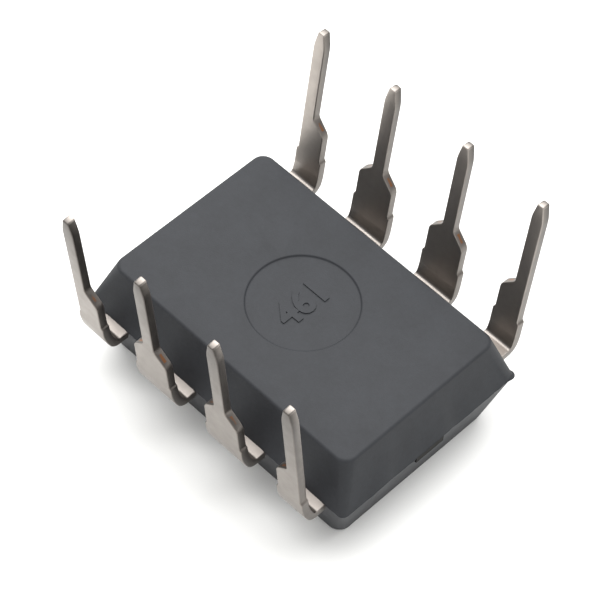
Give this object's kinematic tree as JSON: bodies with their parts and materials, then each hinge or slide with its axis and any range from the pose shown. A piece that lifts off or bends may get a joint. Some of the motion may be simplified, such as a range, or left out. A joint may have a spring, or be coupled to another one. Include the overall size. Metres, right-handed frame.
{
  "type": "dual in-line integrated circuit package",
  "caption": "Small plastic through-hole chip package lying on its marking face, with two rows of bent tinned leads pointing up.",
  "frame": {"origin": "centre of the marking face, which the part rests on", "axes": "+Z from the marking face towards the lead tips, X along the rows of leads with the notched pin 1 end at -X, Y across the body with leads 1 to 4 at +Y"},
  "size_m": [0.0094, 0.0091, 0.0072],
  "materials": {
    "moulding": "fine matte moulded epoxy, dark grey",
    "tinned_lead": "satin tin plating on copper alloy sheet",
    "copper_sheet": "bare rolled copper alloy sheet",
    "silver_epoxy": "matte silver-filled epoxy",
    "silicon": "polished silicon",
    "gold_wire": "drawn gold wire"
  },
  "bodies": {
    "root": {"moulded_body": "moulding", "lead_1": "tinned_lead", "lead_2": "tinned_lead", "lead_3": "tinned_lead", "lead_4": "tinned_lead", "lead_5": "tinned_lead", "lead_6": "tinned_lead", "lead_7": "tinned_lead", "lead_8": "tinned_lead", "die_paddle": "copper_sheet", "die_attach": "silver_epoxy", "die": "silicon", "bond_wire_1": "gold_wire", "bond_wire_2": "gold_wire", "bond_wire_3": "gold_wire", "bond_wire_4": "gold_wire", "bond_wire_5": "gold_wire", "bond_wire_6": "gold_wire", "bond_wire_7": "gold_wire", "bond_wire_8": "gold_wire"}
  },
  "joints": []
}
